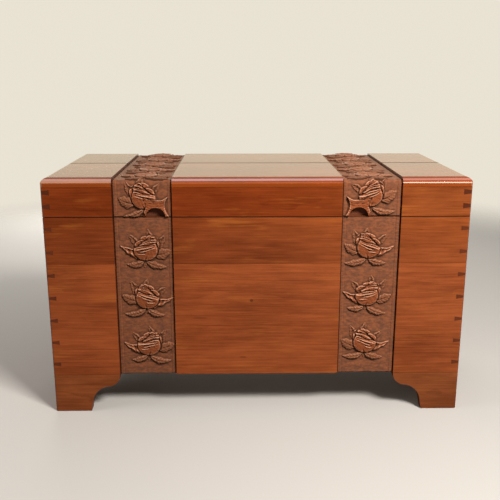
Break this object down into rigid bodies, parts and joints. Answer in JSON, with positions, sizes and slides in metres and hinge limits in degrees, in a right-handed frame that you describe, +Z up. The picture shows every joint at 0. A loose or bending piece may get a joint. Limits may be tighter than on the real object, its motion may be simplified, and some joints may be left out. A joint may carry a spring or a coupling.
{
  "type": "storage chest",
  "caption": "Dovetailed camphor wood storage chest with a deep hinged lid, carved floral bands down the front and over the top, and ogee bracket feet.",
  "frame": {"origin": "middle of the chest's footprint, hinge barrels included, at floor level", "axes": "+Z up, the front faces -Y, +X to the right of someone who faces the front"},
  "size_m": [1, 0.4884, 0.585],
  "materials": {
    "polished_camphor": "polished",
    "plain_wood": "bare",
    "brass": "aged"
  },
  "bodies": {
    "carcase": {"front_lower_plank": "polished_camphor", "front_upper_plank": "polished_camphor", "back_lower_plank": "polished_camphor", "back_upper_plank": "polished_camphor", "left_side_lower_plank": "polished_camphor", "left_side_upper_plank": "polished_camphor", "right_side_lower_plank": "polished_camphor", "right_side_upper_plank": "polished_camphor", "front_bearer": "plain_wood", "back_bearer": "plain_wood", "left_bearer": "plain_wood", "right_bearer": "plain_wood", "bottom_board_1": "plain_wood", "bottom_board_2": "plain_wood", "bottom_board_3": "plain_wood", "front_left_foot_face": "polished_camphor", "front_left_foot_return": "polished_camphor", "front_left_foot_block": "plain_wood", "front_right_foot_face": "polished_camphor", "front_right_foot_return": "polished_camphor", "front_right_foot_block": "plain_wood", "back_left_foot_face": "polished_camphor", "back_left_foot_return": "polished_camphor", "back_left_foot_block": "plain_wood", "back_right_foot_face": "polished_camphor", "back_right_foot_return": "polished_camphor", "back_right_foot_block": "plain_wood", "left_hinge_lower_leaf": "brass", "right_hinge_lower_leaf": "brass", "left_hinge_pin": "brass", "right_hinge_pin": "brass", "hinge_screws_carcase": "brass", "stay_carcase_plate": "brass", "stay_stud": "brass", "stay_screws_carcase": "brass"},
    "lid": {"lid_front": "polished_camphor", "lid_back": "polished_camphor", "lid_left_side": "polished_camphor", "lid_right_side": "polished_camphor", "lid_top_front_board": "polished_camphor", "lid_top_back_board": "polished_camphor", "left_hinge_upper_leaf": "brass", "right_hinge_upper_leaf": "brass", "hinge_screws_lid": "brass", "stay_lid_plate": "brass", "stay_pivot_post": "brass", "stay_screws_lid": "brass"},
    "stay": {"stay_arm": "brass"}
  },
  "joints": [
    {"name": "lid_hinge", "type": "hinge", "parent": "carcase", "child": "lid", "pos_m": [0, 0.2402, 0.493], "axis": [-1, 0, 0], "range_deg": [0, 95]},
    {"name": "stay_pivot", "type": "hinge", "parent": "lid", "child": "stay", "pos_m": [0.4745, 0.05495, 0.531], "axis": [-1, 0, 0], "range_deg": [-47.5, 0]}
  ],
  "couplings": [
    {"joint": "stay_pivot", "follows": "lid_hinge", "ratio": -0.5}
  ]
}
